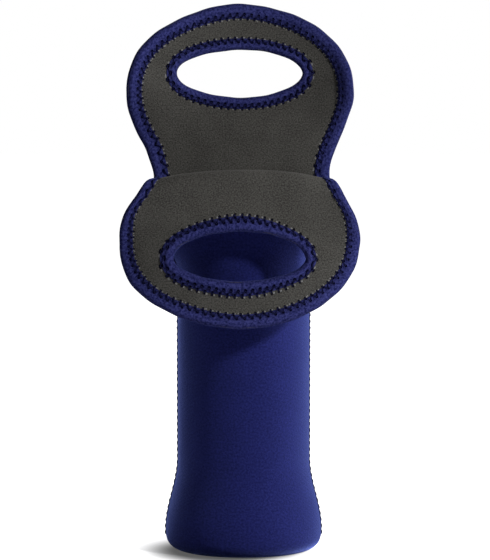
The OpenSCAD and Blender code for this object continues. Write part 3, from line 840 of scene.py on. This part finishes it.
class Cloth:
    """Fabric with a fine weave and soft mottling. Further steps change its colour and height."""

    def __init__(self, name, colour, darker, tint, roughness, sheen, scale, bump, contrast, specular=0.03):
        self.material = bpy.data.materials.new(name)
        self.material.use_nodes = True
        self.tree = self.material.node_tree
        self.bumps = self.add("Bump", {"Strength": bump, "Distance": WEAVE_HEIGHT})
        self.shader = self.tree.nodes["Principled BSDF"]
        set_inputs(self.shader, {
            "Roughness": roughness,
            "Specular IOR Level": specular,
            "Sheen Weight": sheen,
            "Sheen Roughness": SHEEN_ROUGHNESS,
            "Sheen Tint": (*tint, 1),
            "Normal": self.bumps.outputs["Normal"],
        })

        self.map = self.add("UVMap", uv_map="cloth").outputs["UV"]
        fine = self.noise(scale, 3, FINE_ROUGHNESS)
        broad = self.noise(scale * BROAD_SHARE, 2, 0.5)
        knit = self.math("MULTIPLY", self.bands(KNIT_ACROSS, "X"), self.bands(KNIT_ALONG, "Y"))
        tone = self.total((fine, broad, knit), TONE_SHARES)
        light = add_range(self.tree, tone, MEAN_TONE - contrast, MEAN_TONE + contrast)
        self.set_colour({"A": (*darker, 1), "B": (*colour, 1), "Factor": light})
        self.set_height(self.total((fine, knit), HEIGHT_SHARES))

    def add(self, kind, inputs=(), **settings):
        return add_node(self.tree, kind, inputs, **settings)

    def math(self, operation, a, b, clamp=False):
        return add_math(self.tree, operation, a, b, clamp)

    def total(self, values, shares):
        """The sum of values, each multiplied by its share."""
        terms = [self.math("MULTIPLY", value, share) for value, share in zip(values, shares)]
        result = terms[0]
        for term in terms[1:]:
            result = self.math("ADD", result, term)
        return result

    def noise(self, scale, detail, roughness):
        inputs = {"Scale": scale, "Detail": detail, "Roughness": roughness, "Vector": self.map}
        return self.add("TexNoise", inputs).outputs["Fac"]

    def bands(self, scale, direction):
        inputs = {"Scale": scale, "Distortion": KNIT_UNEVEN, "Detail": 1, "Detail Scale": KNIT_UNEVEN_SCALE}
        return self.add("TexWave", {**inputs, "Vector": self.map}, bands_direction=direction).outputs["Fac"]

    def fact(self, name):
        return self.add("Attribute", attribute_name=name).outputs["Fac"]

    def set_colour(self, inputs, **settings):
        """Gives the cloth the mix of two colours."""
        self.colour = self.add("Mix", inputs, data_type="RGBA", **settings).outputs["Result"]
        set_inputs(self.shader, {"Base Color": self.colour})

    def set_height(self, height):
        self.height = height
        set_inputs(self.bumps, {"Height": height})

    def mark(self, colour, rows, size=1.1, depth=3.0):
        """Dots at a pitch along a tape's line, where the stitches go in: dark pricks, or pale specks."""
        marks = None
        for kind, pitch, inset, shift in rows:
            along = self.math("PINGPONG", self.math("ADD", self.fact(kind + "_run"), shift), pitch / 2)
            across = self.math("SUBTRACT", self.fact(kind + "_in"), inset)
            along, across = (self.math("MULTIPLY", way, way) for way in (along, across))
            away = self.math("DIVIDE", self.math("ADD", along, across), size)
            dot = self.math("SUBTRACT", 1.0, away, clamp=True)
            marks = dot if marks is None else self.math("MAXIMUM", marks, dot)
        share = self.math("MULTIPLY", marks, MARK_CRISPNESS, clamp=True)
        self.set_colour({"A": self.colour, "B": (*colour, 1), "Factor": share})
        self.set_height(self.math("SUBTRACT", self.height, self.math("MULTIPLY", marks, depth)))

    def shade(self, ranges, choice):
        """Painted shade: darkens the cloth between insets from the tapes' lines: kind, start, end and light
        at each.
        """
        light = None
        for kind, *limits in ranges:
            fall = add_range(self.tree, self.fact(kind + "_in"), *limits, interpolation_type="SMOOTHSTEP")
            light = fall if light is None else self.math(choice, light, fall)
        self.set_colour({"A": self.colour, "B": light, "Factor": 1}, blend_type="MULTIPLY")


LOOKS = {
    "cover_knit": dict(
        colour=(0.015, 0.0185, 0.12), darker=(0.0064, 0.0082, 0.057), tint=BLUE_SHEEN,
        roughness=0.85, sheen=1.0, scale=74, bump=0.6, contrast=0.19,
    ),
    "lining_knit": dict(
        colour=(0.093, 0.09, 0.083), darker=(0.026, 0.0252, 0.0235), tint=GREY_SHEEN,
        roughness=0.9, sheen=0.04, scale=105, bump=0.8, contrast=0.2,
    ),
    "binding_tape": dict(
        colour=(0.044, 0.049, 0.186), darker=(0.0107, 0.0127, 0.064), tint=BLUE_SHEEN,
        roughness=0.8, sheen=0.15, scale=60, bump=0.8, contrast=0.14, specular=0.0,
    ),
    "thread": dict(
        colour=(0.013, 0.014, 0.062), darker=(0.004, 0.004, 0.02), tint=BLUE_SHEEN,
        roughness=0.7, sheen=0.05, scale=30, bump=0.8, contrast=0.3,
    ),
}
cloths = {name: Cloth(name, **look) for name, look in LOOKS.items()}

# Marks of the stitches: the tape's kind, pitch along it, inset from its line, and shift along it
TRIMS = (EDGE_TRIM, HOLE_TRIM)
PRICKS = [(trim.kind, trim.pitch, trim.zigzag_in, 0) for trim in TRIMS]
TAPE_PRICKS = [(trim.kind, trim.pitch, trim.zigzag_in - 0.9, 0) for trim in TRIMS]
TAPE_PRICKS += [(trim.kind, trim.pitch, trim.zigzag_out, trim.pitch / 2) for trim in TRIMS]
PALE_SPECKS = [(trim.kind, trim.pitch, trim.zigzag_in - 0.1, trim.pitch * 0.3) for trim in TRIMS]
PALE_SPECKS.append(("edge", EDGE_TRIM.pitch * 1.4, EDGE_TRIM.zigzag_in + 0.2, 0.4))
cloths["lining_knit"].mark((0.2, 0.2, 0.21), PALE_SPECKS, size=0.3, depth=0)
cloths["lining_knit"].mark((0.005, 0.005, 0.01), PRICKS, size=0.8)
cloths["cover_knit"].mark((0.002, 0.002, 0.015), PRICKS)
cloths["binding_tape"].mark((0.002, 0.002, 0.012), TAPE_PRICKS, size=1.35)

# Painted shade darkens the tape at its bead's outer edge, and on its stitched band, which lies lower. Each
# row has the tape's kind, the insets where the shade starts and ends, and the light left at both
BEAD_SHADE = [(trim.kind, -0.9, 2.6, 0.65, 1.0) for trim in TRIMS]
BAND_SHADE = [("edge", 4.4, 6.2, 1.0, 0.72), ("hole", 2.8, 4.4, 1.0, 0.76)]
cloths["binding_tape"].shade(BEAD_SHADE, "MINIMUM")
cloths["binding_tape"].shade(BAND_SHADE, "MAXIMUM")

# Panels

# A panel's pieces from its base to its flap, and how the sheets among them are held
PIECE_NAME = ("panel", "bend_1", "bend_2", "flap")
HELD = {0: "stretched", FOLD_PARTS: "folded"}
DEPTHS = {"cover": (0, SKIN_T - SKIN_GAP), "lining": (SKIN_T, SHEET_T)}
FINISH = {"cover": "cover_knit", "lining": "lining_knit"}
# How far over the side seams the edge tape and its stitches start, and how far the tape's spans overlap
TAPE_START = 1.2
STITCH_START = 3
SPAN_LAP = 0.3


def between_rows(low, high, step):
    return np.linspace(low, high, max(2, math.ceil((high - low) / step)) + 1)


def panel_rows(pocket_step):
    """Heights of the rows of a panel's lowest piece: base corner, pocket, neck, and close to the bend."""
    fine_from = NECK_TOP - FINE_UNDER_BEND
    return np.concatenate([
        np.linspace(CORNER_START, CORNER_R, CORNER_ROWS)[:-1],
        between_rows(CORNER_R, SEAM_TOP, pocket_step)[:-1],
        between_rows(SEAM_TOP, fine_from, NECK_STEP)[:-1],
        between_rows(fine_from, CUT_V[0], BEND_STEP),
    ])


UPPER_PATTERNS = [strip_pattern(between_rows(*ends, BEND_STEP)) for ends in zip(CUT_V, CUT_V[1:])]
UPPER_PATTERNS.append(flap_pattern())
PATTERNS = {layer: [strip_pattern(panel_rows(step)), *UPPER_PATTERNS] for layer, step in POCKET_STEP.items()}


def stands_for(name, layer, index):
    """Solids that a skin stands for. The cover stands for its foam too."""
    if 0 < index < FOLD_PARTS:
        return [f"{name}_fold_{index}"]
    fold, part = ([], name) if index == 0 else ([f"{name}_fold_{FOLD_PARTS}"], f"{name}_flap")
    return fold + ([f"{part}_cover", f"{part}_foam"] if layer == "cover" else [f"{part}_lining"])


def tape_stands_for(name, index):
    """Solids that a piece of the edge tape stands for."""
    if index == 0:
        return [f"{name}_neck_binding"]
    return [f"{name}_fold_binding_{index}"] + ([f"{name}_flap_binding"] if index == FOLD_PARTS else [])


def heights(index, start):
    """Lowest and highest place of a panel's piece along its edge. The lowest piece starts over the seam."""
    low = SEAM_TOP + start if index == 0 else CUT_V[index - 1]
    return low, CUT_V[index] if index < FOLD_PARTS else math.inf


def edge_spans(index):
    """Spans of the edge line that belong to a piece: right and left, or the whole flap."""
    low, high = heights(index, TAPE_START)
    v = EDGE_TRIM.points[:, 1]
    places = np.flatnonzero((v >= low - SPAN_LAP) & (v <= high + SPAN_LAP))
    if index == FOLD_PARTS:
        return [slice(places[0], places[-1] + 1)]
    gap = np.flatnonzero(np.diff(places) > 1)[0]
    return [slice(places[0], places[gap] + 1), slice(places[gap + 1], places[-1] + 1)]


def add_skins(side, index, strips):
    """Cover and lining of one piece of a panel."""
    name = SIDE_NAME[side]
    for layer, finish in FINISH.items():
        u, v, faces = PATTERNS[layer][index]
        piece = sheet_piece(f"{name}_{layer}_{PIECE_NAME[index]}", side, u, v, faces, DEPTHS[layer], finish)
        bend(piece)
        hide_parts(*stands_for(name, layer, index))
        if index in HELD:
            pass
        else:
            strips[layer].append(piece)


def add_edge_tape(side, index):
    """Tape and stitches along the edge of one piece of a panel."""
    name = SIDE_NAME[side]
    tape = tape_piece(f"{name}_tape_{PIECE_NAME[index]}", side, EDGE_TRIM, edge_spans(index))
    bend(tape)
    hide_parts(*tape_stands_for(name, index))
    low, high = heights(index, STITCH_START)
    stitches = stitch_piece(f"{name}_stitch_{PIECE_NAME[index]}", side, EDGE_TRIM, low, high)
    bend(stitches)
    if index in HELD:
        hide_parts(f"{name}_neck_stitch" if index == 0 else f"{name}_flap_stitch")


def add_hole_tape(side):
    """Tape and stitches round a flap's hand hole."""
    name = SIDE_NAME[side]
    rim = tape_piece(f"{name}_hole_tape", side, HOLE_TRIM)
    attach(rim, f"{name}_flap")
    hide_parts(f"{name}_hole_binding")
    stitches = stitch_piece(f"{name}_hole_stitches", side, HOLE_TRIM)
    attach(stitches, f"{name}_flap")
    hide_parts(f"{name}_hole_stitch")


for side in (FRONT, REAR):
    # The strips in the bend are too narrow to be sheets of their own: they are only gathered by layer
    strips = {layer: [] for layer in FINISH}
    for index in range(FOLD_PARTS + 1):
        add_skins(side, index, strips)
        add_edge_tape(side, index)
    add_hole_tape(side)

# Side seams and bar tacks


def on_wall(hand, across, z, lift):
    """Points on the pocket's wall at a side seam, lifted off it."""
    r = wall(z)[0] + lift
    a = across / r
    return np.stack([hand * r * np.cos(a), r * np.sin(a), z], -1)


def add_side_seam(hand):
    low, high = CORNER_R, SEAM_TOP - 2 * TACK_H - SEAM_END_GAP
    paths = []
    for i, (z, across) in enumerate(zigzag(low, high, high - low, SIDE_ZIGZAG_W)):
        paths.append(on_wall(hand, across, z, STITCH_RISE * SEAM_STITCH_RISE[i % 2]))
    seam = thread_piece(f"side_stitches_{HAND_NAME[hand]}", paths, radius=SEAM_THREAD_R)
    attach(seam, "pocket")
    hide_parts(f"side_seam_{HAND_NAME[hand]}")


def add_tack(hand):
    low = SEAM_TOP - 2 * TACK_H
    z = mix(low, low + TACK_H, STITCH_SHARE)
    paths = []
    for i in range(TACK_WRAPS):
        centre = mix(-TACK_W / 2, TACK_W / 2, i / (TACK_WRAPS - 1))
        paths.append(on_wall(hand, centre + TACK_SLANT * (STITCH_SHARE - 0.5), z, STITCH_RISE * TACK_RISE))
    tack = thread_piece(f"tack_{HAND_NAME[hand]}", paths, radius=TACK_THREAD_R)
    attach(tack, "pocket")
    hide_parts(f"bar_tack_{HAND_NAME[hand]}")


for hand in (LEFT, RIGHT):
    add_side_seam(hand)
    add_tack(hand)

# Base

DISC_RINGS = 26
DISC_AROUND = 120
# Gap between the base and the wall, and the share of its radius that its middle cap has
DISC_GAP = 0.15
HUB_SHARE = 0.02
# Gap between the base and the floor, and how far the middle of each layer rises
FLOOR_GAP = 0.05
OUTER_DOME = 0.4
INNER_DOME = 0.6


def disc_piece(name, low, high, finish, dome):
    """A layer of the round base, a little crowned in its middle."""
    r = (BASE_R - DISC_GAP) * np.linspace(HUB_SHARE, 1, DISC_RINGS)
    a = np.linspace(0, 2 * np.pi, DISC_AROUND, endpoint=False)
    x, y = (r[:, None] * np.cos(a)).ravel(), (r[:, None] * np.sin(a)).ravel()
    rise = dome * (1 - (np.hypot(x, y) / BASE_R) ** 2)
    bottom, top = np.stack([x, y, low + rise], 1), np.stack([x, y, high + rise], 1)
    n = len(bottom)
    co, faces = shell(bottom, top, grid_faces(DISC_RINGS, DISC_AROUND, wrap=True))
    # The wall round the innermost ring gives way to a cap over each face
    inmost = (faces % n < DISC_AROUND).all(1)
    faces = faces[~(inmost & (faces.max(1) >= n) & (faces.min(1) < n))]
    i = np.arange(DISC_AROUND)
    j = (i + 1) % DISC_AROUND
    lower = np.stack([np.full(DISC_AROUND, 2 * n), j, i, i], 1)
    upper = np.stack([np.full(DISC_AROUND, 2 * n + 1), i + n, j + n, j + n], 1)
    co = np.vstack([co, [[0, 0, low + dome], [0, 0, high + dome]]])
    faces = np.vstack([faces, lower, upper])
    piece = make(name, co, faces, co[:, :2] / CLOTH_UNIT, finish, None, no_facts(len(co)))
    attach(piece, "pocket")
    return piece


outer_disc = disc_piece("base_outer", FLOOR_GAP, SKIN_T, "cover_knit", OUTER_DOME)
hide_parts("base_cover", "base_foam")
inner_disc = disc_piece("base_inner", SKIN_T + SKIN_GAP, SHEET_T, "lining_knit", INNER_DOME)
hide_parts("base_lining")

INNER_CORNER_R = CORNER_R - SHEET_T
paths = []
for angle, off in zigzag(0, 2 * np.pi, 2 * np.pi * BASE_R, BASE_ZIGZAG_W):
    # Outwards of the base's edge, the stitches climb the wall's inner corner
    climb = INNER_CORNER_R - np.sqrt(INNER_CORNER_R**2 - np.maximum(off, 0) ** 2)
    r, z = BASE_R + off, SHEET_T + climb + STITCH_RISE + BASE_STITCH_LIFT
    paths.append(np.stack([r * np.cos(angle), r * np.sin(angle), z], -1))
base_stitches = thread_piece("base_stitches", paths)
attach(base_stitches, "pocket")
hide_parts("base_seam")

# Stage

FLOOR_SIZE = 12.0
FLOOR_DROP = 0.0002
# Place from which the floor's glow grows, the distances where it starts and ends, and its strength at each
# Close to the object the glow is dim. This lets the real shadow show and adds painted shadow all round the
# base
SHADOW_PAINT_CENTRE = (-0.012, -0.014, 0)
SHADOW_PAINT_REACH = (0.034, 0.070)
GLOW = (0.1, 1.05)
# The floor's grey, as a share of its glow, so it is darker close to the object: painted shadow
FLOOR_TONE = 0.86
ROOM_COLOUR = (0.9, 0.93, 1.0, 1)
ROOM_STRENGTH = 0.04


def rays(tree, *kinds):
    """1 for rays of these kinds, and 0 for others."""
    path = add_node(tree, "LightPath")
    seen = path.outputs[kinds[0]]
    for kind in kinds[1:]:
        seen = add_math(tree, "MAXIMUM", seen, path.outputs[kind])
    return seen


def floor_material():
    """Pale floor that glows to the camera: white far off, and grey close to the object with painted shadow.
    """
    material = bpy.data.materials.new("floor")
    material.use_nodes = True
    tree = material.node_tree
    tree.nodes.clear()
    spot = add_node(tree, "NewGeometry").outputs["Position"]
    away = add_node(tree, "VectorMath", {0: spot, 1: SHADOW_PAINT_CENTRE}, operation="DISTANCE").outputs["Value"]
    glow = add_range(tree, away, *SHADOW_PAINT_REACH, *GLOW, interpolation_type="SMOOTHSTEP")
    shown = add_math(tree, "MULTIPLY", rays(tree, "Is Camera Ray", "Is Glossy Ray"), glow)
    shine = add_node(tree, "Emission", {"Strength": shown})
    # Painted shadow: the floor's colour darkens with the glow close to the object
    base = add_node(tree, "BsdfDiffuse", {"Color": add_math(tree, "MULTIPLY", glow, FLOOR_TONE)})
    both = add_node(tree, "AddShader", {0: base.outputs[0], 1: shine.outputs[0]})
    add_node(tree, "OutputMaterial", {"Surface": both.outputs[0]})
    return material


mesh = bpy.data.meshes.new("floor")
h = FLOOR_SIZE / 2
mesh.from_pydata([(-h, -h, 0), (h, -h, 0), (h, h, 0), (-h, h, 0)], [], [(0, 1, 2, 3)])
mesh.materials.append(floor_material())
floor = bpy.data.objects.new("floor", mesh)
floor.location.z = -FLOOR_DROP
bpy.context.scene.collection.objects.link(floor)

# The world is a dim room to the object, and white to the camera and in gloss and glass
world = bpy.data.worlds.new("studio")
bpy.context.scene.world = world
world.use_nodes = True
tree = world.node_tree
tree.nodes.clear()
room = add_node(tree, "Background", {"Color": ROOM_COLOUR, "Strength": ROOM_STRENGTH})
white = add_node(tree, "Background", {"Color": (1, 1, 1, 1), "Strength": 1})
to_camera = rays(tree, "Is Camera Ray", "Is Glossy Ray", "Is Transmission Ray")
pick = add_node(tree, "MixShader", {"Fac": to_camera, 1: room.outputs[0], 2: white.outputs[0]})
add_node(tree, "OutputWorld", {"Surface": pick.outputs[0]})

# Lamps

# The place that they are aimed at
TARGET = Vector((0, 0, 0.19))
# Name, azimuth and elevation in degrees, distance and size in metres, and power in watts
LAMPS = (
    ("key", 55, 28, 1.6, (0.15, 0.17), 25),
    ("side", 102, 15, 1.4, (0.32, 0.9), 12),
    ("rim", -105, 12, 1.4, (0.3, 0.9), 0.5),
    ("back", -155, 22, 1.6, (0.6, 0.8), 9),
)


def area_light(name, azimuth, elevation, distance, size, power):
    """A soft lamp aimed at the object. Azimuth 0 is the camera's side, and grows to the right."""
    data = bpy.data.lights.new(name, "AREA")
    data.shape = "RECTANGLE"
    data.size, data.size_y = size
    data.energy = power
    lamp = bpy.data.objects.new(name, data)
    a, e = math.radians(azimuth), math.radians(elevation)
    way = Vector((math.sin(a) * math.cos(e), -math.cos(a) * math.cos(e), math.sin(e)))
    lamp.location = TARGET + way * distance
    lamp.rotation_euler = (-way).to_track_quat("-Z", "Y").to_euler()
    bpy.context.scene.collection.objects.link(lamp)


for lamp in LAMPS:
    area_light(*lamp)

# Camera

CAMERA_PLACE = (0.001, -2.0, 0.356)
CAMERA_PITCH = 4.97
CAMERA_CLIP = (0.05, 50)
FOCAL_PX = 2970
LONG_SIDE_PX = 560
SENSOR = 36
camera_data = bpy.data.cameras.new("camera")
camera_data.sensor_width = SENSOR
camera_data.lens = FOCAL_PX * SENSOR / LONG_SIDE_PX
camera_data.clip_start, camera_data.clip_end = CAMERA_CLIP
camera = bpy.data.objects.new("camera", camera_data)
camera.location = CAMERA_PLACE
camera.rotation_euler = (math.radians(90 - CAMERA_PITCH), 0, 0)
bpy.context.scene.collection.objects.link(camera)
bpy.context.scene.camera = camera
bpy.context.scene.view_settings.view_transform = "Standard"
